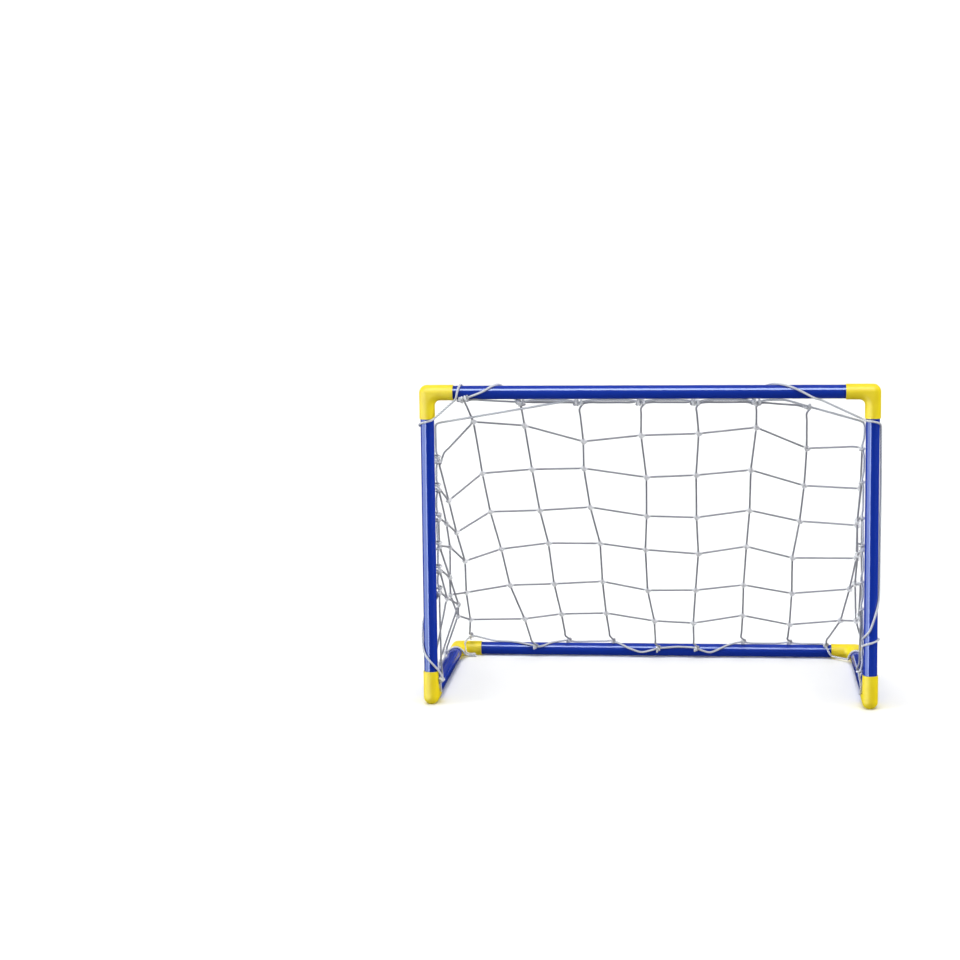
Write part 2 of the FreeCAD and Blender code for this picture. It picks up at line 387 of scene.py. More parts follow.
def neighbour_of(knot, leg):
    """The place in the lattice that a leg of a knot leads to."""
    rows, columns = STEPS[leg]
    return knot[0] + rows, knot[1] + columns


def knot_exists(row, column):
    """Whether the lattice has a knot there."""
    if not 0 <= row <= LAST_ROW:
        return False
    if row == 0:
        return 1 <= column <= LAST_COLUMN - 1
    beyond = max(-column, column - LAST_COLUMN, 0)
    return beyond <= SIDE_MESHES[row]


def all_knots():
    """Every knot of the lattice, row by row."""
    reach = max(SIDE_MESHES)
    columns = range(-reach, LAST_COLUMN + reach + 1)
    return [(row, column) for row in range(LAST_ROW + 1) for column in columns
            if knot_exists(row, column)]


def share_down(row, column):
    """How far down the slope a row of the back lies in a column, from 0 to 1."""
    if row in (0, LAST_ROW):
        return ROW_SHARES[row]
    if row == 1:
        return FIRST_SHARES[column - 1]
    return ROW_SHARES[row] + LOWER_SHIFTS[column - 1]


def back_guess(row, column):
    """Where a knot of the back starts, between its ties on the crossbar and rear bar."""
    crossbar, rear_bar = TUBES["crossbar"], TUBES["rear_bar"]
    top = crossbar.point(CROSSBAR_TIES[column - 1], -90, crossbar.radius)
    bottom = rear_bar.point(REAR_TIES[column - 1], REAR_TIE_ANGLE, rear_bar.radius)
    share = share_down(row, column)
    place = top * (1 - share) + bottom * share
    if column == 1:
        place -= FIRST_COLUMN_SWING * math.sin(math.pi * share) * RIGHT
    return place, row in (0, LAST_ROW)


def side_guess(row, column):
    """Where a knot of a side, or of its edge with the back, starts."""
    on_right = column > LAST_COLUMN / 2
    post = TUBES["right_post" if on_right else "left_post"]
    base_tube = TUBES["right_base_tube" if on_right else "left_base_tube"]
    rear_bar = TUBES["rear_bar"]
    post_ties = RIGHT_POST_TIES if on_right else LEFT_POST_TIES
    beyond = column - LAST_COLUMN if on_right else -column
    on_post = post.point(post_ties[row - 1], -90, post.radius + TWINE_RADIUS)
    if row == LAST_ROW and beyond == SIDE_MESHES[row]:
        return on_post, True
    if row == LAST_ROW and beyond:
        return base_tube.point(BASE_TIES[beyond - 1], BASE_TIE_ANGLE, base_tube.radius), True
    reach = rear_bar.radius + EDGE_LIFT
    if row == LAST_ROW:
        return rear_bar.point(EDGE_TIES[on_right], 90, reach), True
    down = (row - 1) / (LAST_ROW - 1)
    corner = rear_bar.point(EDGE_CORNERS[on_right], 90, reach)
    first_tie = post.point(post_ties[0], -90, post.radius + TWINE_RADIUS)
    edge = first_tie * (1 - down) + corner * down
    hang = math.sin(math.pi * down) ** 0.5
    inward = -1 if on_right else 1
    edge += hang * (inward * EDGE_PULL[on_right] * RIGHT - EDGE_DROOP[on_right] * UP)
    share = beyond / SIDE_MESHES[row] if SIDE_MESHES[row] else 1.0
    return edge * (1 - share) + on_post * share, beyond == SIDE_MESHES[row]


def first_guess(row, column):
    """Where a knot starts before the net is relaxed, and whether it is tied there."""
    if 1 <= column <= LAST_COLUMN - 1:
        return back_guess(row, column)
    return side_guess(row, column)


class Net:
    """The lattice as points joined by short segments, ready to be relaxed."""

    def __init__(self, lines):
        self.random = np.random.RandomState(SEED)
        self.knots = all_knots()
        self.index = {knot: number for number, knot in enumerate(self.knots)}
        self.ties = {}
        points, tied = [], []
        for knot in self.knots:
            place, is_tied = first_guess(*knot)
            if is_tied:
                place = self.tie_to(lines, knot, place)
            else:
                across, along = np.clip(self.random.randn(2), -UNEVEN_LIMIT, UNEVEN_LIMIT)
                place = place + UNEVEN_ACROSS * across * RIGHT + UNEVEN_DOWN * along * UP_SLOPE
            points.append(place)
            tied.append(is_tied)
        self.bars = {}
        self.groups = {}
        self.bends = []
        for knot in self.knots:
            for leg in ("right", "down"):
                neighbour = neighbour_of(knot, leg)
                if self.has_bar(knot, neighbour):
                    self.add_bar(points, tied, knot, neighbour, leg)
        self.points = np.array(points)
        self.free = 1.0 - np.array(tied, float)

    def has_bar(self, knot, neighbour):
        """Bars join neighbours, but the last row is held by the cord alone."""
        both_last = knot[0] == LAST_ROW and neighbour[0] == LAST_ROW
        return neighbour in self.index and not both_last

    def tie_to(self, lines, knot, place):
        """Tie a knot to the nearest point of a cord, and remember the cord's direction."""
        best = None
        for line in lines:
            distances = np.linalg.norm(line - place, axis=1)
            at = int(np.clip(distances.argmin(), 1, len(line) - 2))
            if best is None or distances[at] < best[0]:
                best = (distances[at], line[at], line[at + 1] - line[at - 1])
        self.ties[knot] = best[2] / np.linalg.norm(best[2])
        return best[1].copy()

    def add_bar(self, points, tied, knot, neighbour, leg):
        """Join two knots by a chain of segments, each a little longer or shorter."""
        start, end = points[self.index[knot]], points[self.index[neighbour]]
        on_side = min(knot[1], neighbour[1]) < 0 or max(knot[1], neighbour[1]) > LAST_COLUMN
        slack = BACK_SLACK * self.random.rand()
        if on_side:
            slack = SIDE_SLACK + SIDE_EXTRA_SLACK[leg] * self.random.rand()
        length = np.linalg.norm(end - start) * (1 + slack)
        bow = self.random.randn(3) * (SIDE_BOW if on_side else BACK_BOW)
        chain = [self.index[knot]]
        for part in range(1, BAR_PARTS):
            share = part / BAR_PARTS
            chain.append(len(points))
            points.append(start * (1 - share) + end * share + bow * math.sin(math.pi * share))
            tied.append(False)
        chain.append(self.index[neighbour])
        self.bars[(knot, leg)] = chain
        self.bars[(neighbour, OPPOSITE[leg])] = chain[::-1]
        for part in range(BAR_PARTS):
            group = "inside%d" % (part % 2)
            if part == 0:
                group = "first " + leg
            if part == BAR_PARTS - 1:
                group = "last " + leg
            self.groups.setdefault(group, []).append(
                (chain[part], chain[part + 1], length / BAR_PARTS))
        for part in range(1, BAR_PARTS):
            self.bends.append((chain[part - 1], chain[part], chain[part + 1]))

    def relax(self, steps):
        """Let the net hang: gravity, taut twine, a little stiffness, and the frame."""
        groups = []
        for rows in self.groups.values():
            first = np.array([row[0] for row in rows])
            second = np.array([row[1] for row in rows])
            rest = np.array([row[2] for row in rows])
            share = self.free[first] + self.free[second]
            share[share == 0] = 1
            groups.append((first, second, rest, (self.free[first] / share)[:, None],
                           (self.free[second] / share)[:, None]))
        before, middle, after = (np.array(column) for column in zip(*self.bends))
        free = self.free[:, None]
        held = self.free == 0
        fixed = self.points[held].copy()
        speed = np.zeros_like(self.points)
        for _ in range(steps):
            previous = self.points.copy()
            speed *= DAMPING
            speed[:, 2] -= GRAVITY
            self.points += speed * free
            for _ in range(SWEEPS):
                for first, second, rest, first_share, second_share in groups:
                    gap = self.points[second] - self.points[first]
                    length = np.linalg.norm(gap, axis=1)
                    pull = gap * (np.maximum(length - rest, 0) / length)[:, None]
                    self.points[first] += pull * first_share
                    self.points[second] -= pull * second_share
            kink = (self.points[before] + self.points[after]) / 2 - self.points[middle]
            self.points[middle] += STIFFNESS * kink
            push_out(self.points, TWINE_RADIUS)
            self.points[:, 2] = np.maximum(self.points[:, 2], TWINE_RADIUS)
            self.points[held] = fixed
            speed = self.points - previous


# ---------------------------------------------------------------- strands and knots

# The two strands of a netting knot, in twine diameters: towards the upper right, towards
# the upper left, and out of the net. The bight is made by the strand that joins the
# upper and right legs, and the other one comes up through it and wraps round its neck.
BIGHT = [
    (0.95, 0.62, 0.0), (0.0, 0.86, 0.05), (-0.9, 0.72, 0.0), (-1.3, 0.0, 0.0),
    (-0.9, -0.72, 0.0), (0.0, -0.86, 0.05), (0.95, -0.62, 0.0),
]
WRAP = [
    (-1.0, 0.6, -1.0), (-0.35, 0.1, 0.0), (0.15, -0.35, 1.15), (0.45, -1.2, 1.0),
    (0.6, -1.85, 0.0), (0.65, -1.1, -1.05), (0.65, 1.1, -1.05), (0.6, 1.85, 0.0),
    (0.3, 1.3, 1.0), (-0.5, 0.6, 1.15), (-0.9, -0.3, 1.1), (-1.3, -1.0, 0.6),
]
# Where the legs of a knot start, in twine diameters, and how tight it is pulled.
LEG_START = 2.0
KNOT_SIZE = 0.68
# The short ends left at the edge of the net, and how far they stand out of it as they hang.
TAIL = 5.5
TAIL_OUT = 0.4
# A hitch: its points, its turns round the cord, how far its two strands lie apart and how
# far a turn moves on, both in twine radii, and how far its tail stands out.
HITCH_POINTS = 9
HITCH_TURNS = 1.5
HITCH_SHIFT = 2.6
HITCH_PITCH = 2.2
TAIL_LEAN = (1.5, 0.8)


def unit(vector):
    """A vector's direction."""
    return vector / max(np.linalg.norm(vector), 1e-9)


def leg_direction(net, knot, leg):
    """The direction in which a leg leaves its knot, or None where it has no such leg."""
    chain = net.bars.get((knot, leg))
    if chain is None:
        return None
    return unit(net.points[chain[1]] - net.points[chain[0]])


def knot_axes(net, knot):
    """Towards the upper right, towards the upper left and out of the net, at a knot."""
    legs = {leg: leg_direction(net, knot, leg) for leg in OPPOSITE}
    for leg, other in OPPOSITE.items():
        if legs[leg] is None:
            legs[leg] = -legs[other]
    upper_right = unit(legs["up"] + legs["right"] - legs["left"] - legs["down"])
    upper_left = legs["up"] - legs["right"] + legs["left"] - legs["down"]
    upper_left = unit(upper_left - upper_right * (upper_left @ upper_right))
    return upper_right, upper_left, np.cross(upper_right, upper_left)


def tied_points(net, knot, arrives_by, leaves_by):
    """A hitch round the border cord, as points from one leg to the other or to a tail."""
    centre = net.points[net.index[knot]]
    along = net.ties[knot]
    shift = HITCH_SHIFT if arrives_by in ("left", "down") else -HITCH_SHIFT
    legs = [leg_direction(net, knot, leg) for leg in (arrives_by, leaves_by)]
    towards = legs[0] if legs[0] is not None else legs[1]
    side = unit(towards - along * (towards @ along))
    other = np.cross(along, side)
    turns = HITCH_TURNS
    if legs[0] is not None and legs[1] is not None:
        turns = 1 + math.atan2(legs[1] @ other, legs[1] @ side) / math.tau
    radius = CORD_RADIUS + TWINE_RADIUS
    points = []
    for share in np.linspace(0, 1, HITCH_POINTS):
        turn = math.tau * turns * share
        offset = TWINE_RADIUS * (shift + HITCH_PITCH * turns * (share - 0.5))
        points.append(centre + along * offset
                      + radius * (math.cos(turn) * side + math.sin(turn) * other))
    if legs[1] is None:
        for lean in TAIL_LEAN:
            points.append(points[-1] - UP * TAIL / 2 + side * lean)
    if legs[0] is None:
        points = points[::-1]
        for lean in TAIL_LEAN:
            points.insert(0, points[0] - UP * TAIL / 2 + side * lean)
    return points


def knotted_points(net, knot, arrives_by, leaves_by):
    """The way through a netting knot, as points from one leg to the other or to a tail."""
    centre = net.points[net.index[knot]]
    upper_right, upper_left, out = knot_axes(net, knot)
    shape = BIGHT if "up" in (arrives_by, leaves_by) else WRAP
    diameter = 2 * TWINE_RADIUS
    points = [centre + KNOT_SIZE * diameter * (x * upper_right + y * upper_left + z * out)
              for x, y, z in shape]
    if arrives_by in ("right", "down"):
        points = points[::-1]
    for leg, end in ((arrives_by, 0), (leaves_by, len(points) + 1)):
        direction = leg_direction(net, knot, leg)
        if direction is None:
            direction = unit(-UP + TAIL_OUT * out)
            points.insert(end, centre + direction * TAIL)
        else:
            points.insert(end, centre + direction * LEG_START * diameter)
    return points


def node_points(net, knot, arrives_by, leaves_by):
    """The way through a knot or round the border cord."""
    way = tied_points if knot in net.ties else knotted_points
    return way(net, knot, arrives_by, leaves_by)


def strand_from(net, knot, arrives_by, used):
    """Follow one length of twine from a knot to where it ends."""
    points = []
    while True:
        leaves_by = LEAVES_BY[arrives_by]
        points += node_points(net, knot, arrives_by, leaves_by)
        chain = net.bars.get((knot, leaves_by))
        if chain is None:
            return points
        used.add((knot, leaves_by))
        points += [net.points[number] for number in chain[1:-1]]
        knot = neighbour_of(knot, leaves_by)
        arrives_by = OPPOSITE[leaves_by]
        used.add((knot, arrives_by))


def net_strands(net):
    """Every length of twine in the net."""
    strands, used = [], set()
    for knot in net.knots:
        for arrives_by, leaves_by in LEAVES_BY.items():
            starts_here = (knot, arrives_by) not in net.bars
            if starts_here and (knot, leaves_by) in net.bars and (knot, leaves_by) not in used:
                strands.append(np.array(strand_from(net, knot, arrives_by, used)))
    return strands


# ---------------------------------------------------------------- twisted cord as a mesh

# Twine and cord are laid from three plies: the sides of their section, how deep the
# grooves between the plies are, and the length of one turn of the lay.
SIDES = 12
PLIES = 3
PLY_DEPTH = 0.12
TWINE_LAY = 9.0
CORD_LAY = 12.0
# A direction that no strand starts in, to lay the first ring by.
UNLIKE_ANY_TUBE = (0.31, 0.52, 0.79)
SIDE_ANGLES = np.arange(SIDES) * math.tau / SIDES
# How deep in a groove each side of the section lies, from 0 to 1.
GROOVE = (1 - np.cos(PLIES * SIDE_ANGLES)) / 2
# Spacing of the rings where a strand turns through a knot, and along the rest.
KNOT_SPACING = 0.6
STRAND_SPACING = 1.5
# Points closer together than this belong to a knot.
CLOSE_POINTS = 5
# How far from its middle a knot's painted light, a paler twine tone, reaches, and over what
# length it fades.
PAINTED_KNOT_LIGHT_REACH = 6.5
PAINTED_KNOT_LIGHT_FADE = 2.5


def smooth_line(points):
    """A Catmull-Rom line through points, denser where they are close together."""
    points = np.asarray(points, float)
    steps = np.linalg.norm(np.diff(points, axis=0), axis=1)
    points = points[np.concatenate([[True], steps > 1e-3])]
    padded = np.vstack([2 * points[0] - points[1], points, 2 * points[-1] - points[-2]])
    knots = np.concatenate([[0], np.cumsum(np.sqrt(
        np.linalg.norm(np.diff(padded, axis=0), axis=1)))])
    result = [points[0]]
    for number in range(len(points) - 1):
        a, b, c, d = padded[number:number + 4]
        ta, tb, tc, td = knots[number:number + 4]
        length = np.linalg.norm(c - b)
        spacing = KNOT_SPACING if length < CLOSE_POINTS else STRAND_SPACING
        count = max(1, round(length / spacing))
        for share in np.arange(1, count + 1) / count:
            time = tb + (tc - tb) * share
            ab = a + (b - a) * (time - ta) / (tb - ta)
            bc = b + (c - b) * (time - tb) / (tc - tb)
            cd = c + (d - c) * (time - tc) / (td - tc)
            abc = ab + (bc - ab) * (time - ta) / (tc - ta)
            bcd = bc + (cd - bc) * (time - tb) / (td - tb)
            result.append(abc + (bcd - abc) * (time - tb) / (tc - tb))
    return np.array(result)


def rings_along(line, radius, lay):
    """Rings of a three-ply twisted section along a line."""
    tangents = np.gradient(line, axis=0)
    tangents /= np.linalg.norm(tangents, axis=1)[:, None] + 1e-12
    side = unit(np.cross(tangents[0], UNLIKE_ANY_TUBE))
    run = np.concatenate([[0], np.cumsum(np.linalg.norm(np.diff(line, axis=0), axis=1))])
    reach = radius * (1 - PLY_DEPTH * GROOVE)
    rings = []
    for point, tangent, length in zip(line, tangents, run):
        side = unit(side - tangent * (side @ tangent))
        other = np.cross(tangent, side)
        turned = SIDE_ANGLES + math.tau * length / lay
        rings.append(point + reach[:, None] * (np.cos(turned)[:, None] * side
                                               + np.sin(turned)[:, None] * other))
    return np.array(rings)


def knotted_share(line, knots):
    """How far each point of a line is inside a knot, from 0 to 1."""
    share = np.zeros(len(line))
    for knot in knots:
        distance = np.linalg.norm(line - knot, axis=1)
        share = np.maximum(share, np.clip((PAINTED_KNOT_LIGHT_REACH - distance) / PAINTED_KNOT_LIGHT_FADE, 0, 1))
    return share


class TwineMesh:
    """Gathers stretches of twine and turns them into one mesh object."""

    def __init__(self):
        self.vertices, self.faces, self.grooves, self.knotted = [], [], [], []

    def add_stretch(self, rings, knotted):
        """Add a tube through rings, closed at both ends, with how knotted each ring is."""
        if len(rings) < 2:
            return
        base = len(self.vertices)
        self.vertices += list(rings.reshape(-1, 3))
        self.grooves += list(GROOVE) * len(rings)
        self.knotted += list(np.repeat(knotted, SIDES))
        for ring in range(len(rings) - 1):
            for number in range(SIDES):
                after = (number + 1) % SIDES
                here, there = base + ring * SIDES, base + (ring + 1) * SIDES
                self.faces.append((here + number, here + after, there + after, there + number))
        for ring, inward in ((0, False), (len(rings) - 1, True)):
            centre = len(self.vertices)
            self.vertices.append(rings[ring].mean(axis=0))
            self.grooves.append(GROOVE.mean())
            self.knotted.append(knotted[ring])
            row = base + ring * SIDES
            for number in range(SIDES):
                pair = (row + number, row + (number + 1) % SIDES)
                self.faces.append((*(pair if inward else pair[::-1]), centre))

    def make(self, name, material):
        """The mesh object, in metres."""
        mesh = bpy.data.meshes.new(name)
        vertices = np.array(self.vertices)
        vertices[:, 2] = np.maximum(vertices[:, 2], FLOOR_GAP)
        mesh.from_pydata((vertices * MM).tolist(), [], self.faces)
        # groove sets the painted shade in the grooves, and knotted sets the knots' painted
        # light.
        for label, values in (("groove", self.grooves), ("knotted", self.knotted)):
            attribute = mesh.attributes.new(label, "FLOAT", "POINT")
            attribute.data.foreach_set("value", np.array(values, np.float32))
        mesh.shade_smooth()
        mesh.materials.append(material)
        piece = bpy.data.objects.new(name, mesh)
        bpy.context.scene.collection.objects.link(piece)
        return piece


def band_of(line):
    """The band that each point of a line belongs to."""
    up_slope = (line - SLOPE_FOOT) @ UP_SLOPE
    return np.searchsorted(CUTS, up_slope)


def lay_in_bands(lines, knots, radius, lay, name, material, nodes):
    """Make twine along lines as one piece for each band, cut between the bands."""
    meshes = [TwineMesh() for _ in BANDS]
    for line in lines:
        rings = rings_along(line, radius, lay)
        knotted = knotted_share(line, knots)
        bands = band_of(line)
        start = 0
        for at in range(1, len(line) + 1):
            if at == len(line) or bands[at] != bands[start]:
                stop = min(at + 1, len(line))
                meshes[bands[start]].add_stretch(rings[start:stop], knotted[start:stop])
                start = at
    for (label, first, second, low, high), mesh in zip(BANDS, meshes):
        piece = mesh.make(name + "_" + label, material)
        start, end = (SLOPE_FOOT + UP_SLOPE * place for place in (low, high))
        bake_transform(piece)
        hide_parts(*nodes)


# ---------------------------------------------------------------- materials

BLUE = (0.007, 0.037, 0.400)
DEEP_BLUE = (0.005, 0.029, 0.330)
SCUFFED_BLUE = (0.035, 0.090, 0.450)
YELLOW = (0.880, 0.710, 0.016)
DEEP_YELLOW = (0.840, 0.650, 0.010)
MARKED_YELLOW = (0.900, 0.760, 0.250)
# Plies and the grooves between them. The net's twine is white, and its grey ply tone is
# painted shade.
PAINTED_SHADE_TWINE_TONES = (0.46, 0.46, 0.50), (0.12, 0.12, 0.15)
# The cord's grooves are darker as painted shade.
CORD_TONES_GROOVES_SHADED = (0.84, 0.85, 0.89), (0.34, 0.35, 0.41)
# The knots' paler tone is painted light.
PAINTED_LIGHT_KNOT_TONES = (0.95, 0.95, 0.96), (0.62, 0.62, 0.66)
# How much of a ply's tone is left where it is soiled.
SOILING = (0.90, 0.88, 0.84)
PLASTIC_IOR = 1.50
FIBRE_IOR = 1.48


def new_material(name):
    """A node material: itself, its node tree, its shader and its coordinates."""
    material = bpy.data.materials.new(name)
    material.use_nodes = True
    tree = material.node_tree
    shader = tree.nodes["Principled BSDF"]
    coordinates = tree.nodes.new("ShaderNodeTexCoord")
    return material, tree, shader, coordinates.outputs["Object"]


def add_noise(tree, vector, scale, stretch=(1, 1, 1), detail=3.0, roughness=0.5):
    """A noise texture, `scale` features to the metre, stretched along the axes."""
    mapping = tree.nodes.new("ShaderNodeMapping")
    mapping.inputs["Scale"].default_value = [scale * share for share in stretch]
    tree.links.new(vector, mapping.inputs["Vector"])
    noise = tree.nodes.new("ShaderNodeTexNoise")
    noise.inputs["Scale"].default_value = 1.0
    noise.inputs["Detail"].default_value = detail
    noise.inputs["Roughness"].default_value = roughness
    tree.links.new(mapping.outputs["Vector"], noise.inputs["Vector"])
    return noise.outputs["Fac"]


def add_ramp(tree, factor, stops):
    """A colour ramp through (position, colour) stops."""
    ramp = tree.nodes.new("ShaderNodeValToRGB")
    elements = ramp.color_ramp.elements
    while len(elements) < len(stops):
        elements.new(0.5)
    for element, (position, colour) in zip(elements, stops):
        element.position = position
        element.color = (*colour, 1)
    tree.links.new(factor, ramp.inputs["Fac"])
    return ramp.outputs["Color"]


def add_range(tree, factor, low, high, to_low, to_high):
    """Map a value from one range to another."""
    node = tree.nodes.new("ShaderNodeMapRange")
    for name, value in (("From Min", low), ("From Max", high),
                        ("To Min", to_low), ("To Max", to_high)):
        node.inputs[name].default_value = value
    tree.links.new(factor, node.inputs["Value"])
    return node.outputs["Result"]


def add_mix(tree, factor, first, second):
    """Mix two colours, each a socket or a constant."""
    node = tree.nodes.new("ShaderNodeMix")
    node.data_type = "RGBA"
    tree.links.new(factor, node.inputs["Factor"])
    for socket, colour in ((node.inputs[6], first), (node.inputs[7], second)):
        if isinstance(colour, tuple):
            socket.default_value = (*colour, 1)
        else:
            tree.links.new(colour, socket)
    return node.outputs[2]


def add_bump(tree, shader, height, distance, strength, below=None):
    """Bump the shader by a height, over an earlier bump if there is one."""
    bump = tree.nodes.new("ShaderNodeBump")
    bump.inputs["Distance"].default_value = distance
    bump.inputs["Strength"].default_value = strength
    tree.links.new(height, bump.inputs["Height"])
    if below is not None:
        tree.links.new(below, bump.inputs["Normal"])
    tree.links.new(bump.outputs["Normal"], shader.inputs["Normal"])
    return bump.outputs["Normal"]


def tube_material(axis):
    """Extruded glossy blue plastic, with faint die lines and scuffs along an axis."""
    material, tree, shader, place = new_material("blue_tube_plastic_" + "xyz"[axis])
    drawn = [0.012 if other == axis else 1.0 for other in range(3)]
    along = [0.15 if other == axis else 1.0 for other in range(3)]
    lines = add_noise(tree, place, scale=900, stretch=drawn, detail=2.0)
    clouds = add_noise(tree, place, scale=22, stretch=along, detail=2.0)
    scuffs = add_noise(tree, place, scale=420, stretch=along, detail=5.0, roughness=0.7)
    base = add_ramp(tree, clouds, [(0.3, DEEP_BLUE), (0.7, BLUE)])
    scuffed = add_range(tree, scuffs, 0.66, 0.80, 0.0, 0.35)
    colour = add_mix(tree, scuffed, base, SCUFFED_BLUE)
    tree.links.new(colour, shader.inputs["Base Color"])
    tree.links.new(add_range(tree, scuffs, 0.3, 0.8, 0.10, 0.24), shader.inputs["Roughness"])
    below = add_bump(tree, shader, lines, distance=0.00004, strength=0.25)
    add_bump(tree, shader, clouds, distance=0.0004, strength=0.15, below=below)
    shader.inputs["IOR"].default_value = PLASTIC_IOR
    return material


def elbow_material():
    """Moulded glossy yellow plastic, with a fine orange-peel and slight handling marks."""
    material, tree, shader, place = new_material("yellow_moulded_plastic")
    peel = add_noise(tree, place, scale=700, detail=2.0)
    clouds = add_noise(tree, place, scale=55, detail=2.0)
    marks = add_noise(tree, place, scale=380, stretch=(1, 1, 0.5), detail=6.0, roughness=0.75)
    base = add_ramp(tree, clouds, [(0.3, DEEP_YELLOW), (0.7, YELLOW)])
    marked = add_range(tree, marks, 0.64, 0.80, 0.0, 0.30)
    colour = add_mix(tree, marked, base, MARKED_YELLOW)
    tree.links.new(colour, shader.inputs["Base Color"])
    tree.links.new(add_range(tree, marks, 0.3, 0.8, 0.40, 0.54), shader.inputs["Roughness"])
    below = add_bump(tree, shader, peel, distance=0.00008, strength=0.30)
    add_bump(tree, shader, clouds, distance=0.0008, strength=0.20, below=below)
    shader.inputs["IOR"].default_value = PLASTIC_IOR
    shader.inputs["Specular IOR Level"].default_value = 0.25
    shader.inputs["Subsurface Weight"].default_value = 0.08
    shader.inputs["Subsurface Radius"].default_value = (0.004, 0.003, 0.001)
    return material


def add_attribute(tree, name):
    """Read one of the twine's own values."""
    node = tree.nodes.new("ShaderNodeAttribute")
    node.attribute_name = name
    return node.outputs["Fac"]


def twine_material(name, light, shade):
    """White laid twine: plies, grooves greyer as painted shade, fine fibres, and knots whiter
    as painted light.
    """
    material, tree, shader, place = new_material(name)
    fibres = add_noise(tree, place, scale=5200, roughness=0.6)
    soil = add_noise(tree, place, scale=28, detail=2.0)
    groove = add_attribute(tree, "groove")
    # Painted shade: the grooves between the plies are darker.
    plies_with_painted_groove_shade = add_ramp(tree, groove, [(0.15, light), (0.95, shade)])
    fluffy = add_mix(tree, add_range(tree, fibres, 0.35, 0.75, 0.0, 0.45), plies_with_painted_groove_shade, shade)
    soiled = tuple(value * share for value, share in zip(light, SOILING))
    colour = add_mix(tree, add_range(tree, soil, 0.5, 0.8, 0.0, 0.5), fluffy, soiled)
    # Painted light: the twine is paler near the middle of each knot.
    knot = add_ramp(tree, groove, [(0.15, PAINTED_LIGHT_KNOT_TONES[0]), (0.95, PAINTED_LIGHT_KNOT_TONES[1])])
    colour = add_mix(tree, add_attribute(tree, "knotted"), colour, knot)
    tree.links.new(colour, shader.inputs["Base Color"])
    tree.links.new(add_range(tree, fibres, 0.3, 0.8, 0.55, 0.80), shader.inputs["Roughness"])
    add_bump(tree, shader, fibres, distance=0.00012, strength=0.6)
    shader.inputs["Sheen Weight"].default_value = 0.25
    shader.inputs["Sheen Roughness"].default_value = 0.45
    shader.inputs["IOR"].default_value = FIBRE_IOR
    return material


def dress_frame():
    """Give the CAD tubes and elbows their plastics."""
    blues = [tube_material(axis) for axis in range(3)]
    yellow = elbow_material()
    finishes = {node: blues[tube.axis] for node, tube in TUBES.items()}
    finishes.update({node: yellow for node in ELBOWS})
    for node, material in finishes.items():
        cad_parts[node].data.materials.clear()
        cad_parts[node].data.materials.append(material)


# ---------------------------------------------------------------- floor, light, camera

FLOOR_REACH = 14.0
FLOOR_TONES = (0.93, 0.93, 0.93), (0.95, 0.95, 0.95)
DOME_RADIUS = 13.5
DOME_BRIGHTNESS = 1.2
SURROUND_TONE = (0.97, 0.98, 1.0)
# Its brightness low down and overhead, and the sines of the heights where it changes.
SURROUND_STRENGTH = (0.025, 0.28)
SURROUND_HEIGHTS = (0.15, 0.5)
# Broad lights: azimuth (0 in front, 90 on the right), height, strength and spread. The key
# is high and the fills come from the sides, so both rows and uprights of the net are lit.
SUNS = {
    "key": (-20, 80, 2.15, 44),
    "left_fill": (-70, 2, 2.45, 40),
    "right_fill": (70, 2, 2.45, 40),
    "bounce": (0, -60, 0.5, 120),
    "rear_fill": (180, 25, 1.2, 60),
}
# Panels that show as highlights: azimuth, height, distance, width and height, radiance.
SOFT_BOXES = {
    "left_box": (-62, -2, 3.2, (4.8, 3.6), 6),
    "stripe_box": (-32, -2, 3.0, (0.8, 3.6), 9),
    "over_box": (-4, 55, 3.0, (3.2, 1.25), 18),
    "back_box": (186.6, 4.4, 3.0, (0.22, 0.20), 2.4),
}
SOFT_BOX_TONE = (0.76, 0.90, 1.0)
SENSOR_WIDTH = 36
LENS = 84.69
CAMERA_PLACE = (0.0892, -3.0951, 0.6893)
CAMERA_ANGLES = (82.523, 0.693, 5.94)


def add_stage(name, mesh, material):
    """A stage object that the camera sees, and that throws back no light and no shadow."""
    mesh.materials.append(material)
    stage = bpy.data.objects.new(name, mesh)
    stage.visible_diffuse = False
    stage.visible_glossy = False
    stage.visible_shadow = False
    bpy.context.scene.collection.objects.link(stage)


def add_floor():
    """A pale matt floor."""
    mesh = bpy.data.meshes.new("floor")
    corners = [(-1, -1), (1, -1), (1, 1), (-1, 1)]
    mesh.from_pydata([(x * FLOOR_REACH, y * FLOOR_REACH, 0) for x, y in corners], [],
                     [(0, 1, 2, 3)])
    material, tree, shader, place = new_material("pale_floor")
    clouds = add_noise(tree, place, scale=2.0, detail=2.0)
    tone = add_ramp(tree, clouds, [(0.3, FLOOR_TONES[0]), (0.7, FLOOR_TONES[1])])
    tree.links.new(tone, shader.inputs["Base Color"])
    shader.inputs["Roughness"].default_value = 0.9
    shader.inputs["Specular IOR Level"].default_value = 0.1
    add_stage("floor", mesh, material)


def add_dome():
    """A pale dome far round the floor, which only the camera sees."""
    mesh = bpy.data.meshes.new("dome")
    shape = bmesh.new()
    bmesh.ops.create_uvsphere(shape, u_segments=64, v_segments=32, radius=DOME_RADIUS)
    shape.to_mesh(mesh)
    shape.free()
    material, _, shader, _ = new_material("pale_dome")
    shader.inputs["Base Color"].default_value = (0, 0, 0, 1)
    shader.inputs["Roughness"].default_value = 1.0
    shader.inputs["Specular IOR Level"].default_value = 0.0
    shader.inputs["Emission Color"].default_value = (1, 1, 1, 1)
    shader.inputs["Emission Strength"].default_value = DOME_BRIGHTNESS
    add_stage("dome", mesh, material)


def aim(light, azimuth, height):
    """Turn a light to shine from an azimuth and a height, in degrees."""
    light.rotation_euler = (math.radians(90 - height), 0, math.radians(azimuth))


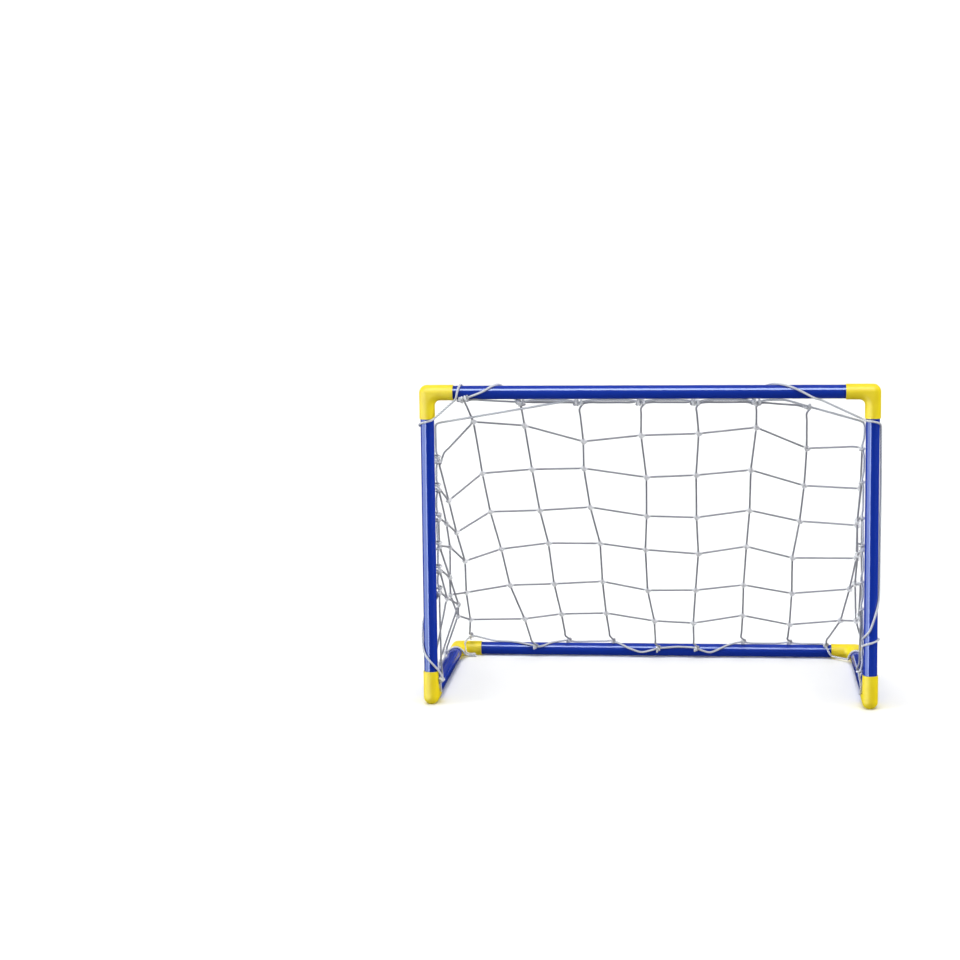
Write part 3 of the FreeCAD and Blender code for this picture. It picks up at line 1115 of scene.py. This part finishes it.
def add_sun(name, azimuth, height, strength, spread):
    """A broad soft light from far away, without a highlight of its own."""
    data = bpy.data.lights.new(name, "SUN")
    data.energy = strength
    data.angle = math.radians(spread)
    sun = bpy.data.objects.new(name, data)
    aim(sun, azimuth, height)
    sun.visible_glossy = False
    bpy.context.scene.collection.objects.link(sun)


def add_soft_box(name, azimuth, height, distance, size, radiance):
    """A rectangular panel that shows as a highlight in glossy plastic."""
    data = bpy.data.lights.new(name, "AREA")
    data.shape = "RECTANGLE"
    data.size, data.size_y = size
    data.energy = radiance * math.pi * size[0] * size[1]
    data.color = SOFT_BOX_TONE
    box = bpy.data.objects.new(name, data)
    aim(box, azimuth, height)
    box.location = box.rotation_euler.to_matrix() @ Vector((0, 0, distance))
    box.visible_camera = False
    box.visible_diffuse = False
    bpy.context.scene.collection.objects.link(box)


def add_surround():
    """A surround that is darker near the horizon."""
    world = bpy.data.worlds.new("surround")
    world.use_nodes = True
    tree = world.node_tree
    background = tree.nodes["Background"]
    background.inputs["Color"].default_value = (*SURROUND_TONE, 1)
    direction = tree.nodes.new("ShaderNodeTexCoord").outputs["Generated"]
    height = tree.nodes.new("ShaderNodeSeparateXYZ")
    tree.links.new(direction, height.inputs[0])
    strength = add_range(tree, height.outputs["Z"], *SURROUND_HEIGHTS, *SURROUND_STRENGTH)
    tree.links.new(strength, background.inputs["Strength"])
    bpy.context.scene.world = world


def add_lights():
    """The broad lights, and the panels for the highlights."""
    for name, values in SUNS.items():
        add_sun(name, *values)
    for name, values in SOFT_BOXES.items():
        add_soft_box(name, *values)


def add_camera():
    """A long lens in front, a little above and to the right of the middle."""
    data = bpy.data.cameras.new("camera")
    data.sensor_width = SENSOR_WIDTH
    data.lens = LENS
    camera = bpy.data.objects.new("camera", data)
    camera.location = CAMERA_PLACE
    camera.rotation_euler = [math.radians(angle) for angle in CAMERA_ANGLES]
    bpy.context.scene.collection.objects.link(camera)
    bpy.context.scene.camera = camera
    bpy.context.scene.view_settings.view_transform = "Standard"


# ---------------------------------------------------------------- the whole scene

# How far from a tie its twine lifts a cord off the tube.
TIE_REACH = 9.0
# How near to the frame a strand may come, in twine radii.
STRAND_GAP = 0.9


def lift_over_ties(line, ties):
    """Lift a cord off its tube by a twine's thickness where the twine goes round it."""
    lift = np.zeros(len(line))
    for tie in ties:
        distance = np.linalg.norm(line - tie, axis=1)
        lift = np.maximum(lift, np.exp(-(distance / TIE_REACH) ** 2))
    push_out(line, CORD_RADIUS + 2 * TWINE_RADIUS * lift)


def make_net_and_cord():
    """Lay the cords, hang the net on them and turn both into pieces."""
    routes = (BORDER_ROUTE, LEFT_LACING, RIGHT_LACING)
    border, left_lacing, right_lacing = (lay_route(keys, CORD_RADIUS) for keys in routes)
    cords = [border, left_lacing, right_lacing]
    guesses = [first_guess(*knot) for knot in all_knots()]
    ties = [place for place, is_tied in guesses if is_tied]
    for line in cords:
        lift_over_ties(line, ties)
    net = Net([border, left_lacing])
    net.relax(RELAX_STEPS)
    strands = [smooth_line(strand) for strand in net_strands(net)]
    for strand in strands:
        push_out(strand, TWINE_RADIUS * STRAND_GAP)
    lay_in_bands(strands, net.points[:len(net.knots)], TWINE_RADIUS, TWINE_LAY, "net",
                 twine_material("white_twine", *PAINTED_SHADE_TWINE_TONES),
                 ("net_back", "net_left_side", "net_right_side"))
    lay_in_bands(cords, [], CORD_RADIUS, CORD_LAY, "border_cord",
                 twine_material("white_cord", *CORD_TONES_GROOVES_SHADED), ("border_cord",))


dress_frame()
make_net_and_cord()
add_floor()
add_dome()
add_surround()
add_lights()
add_camera()
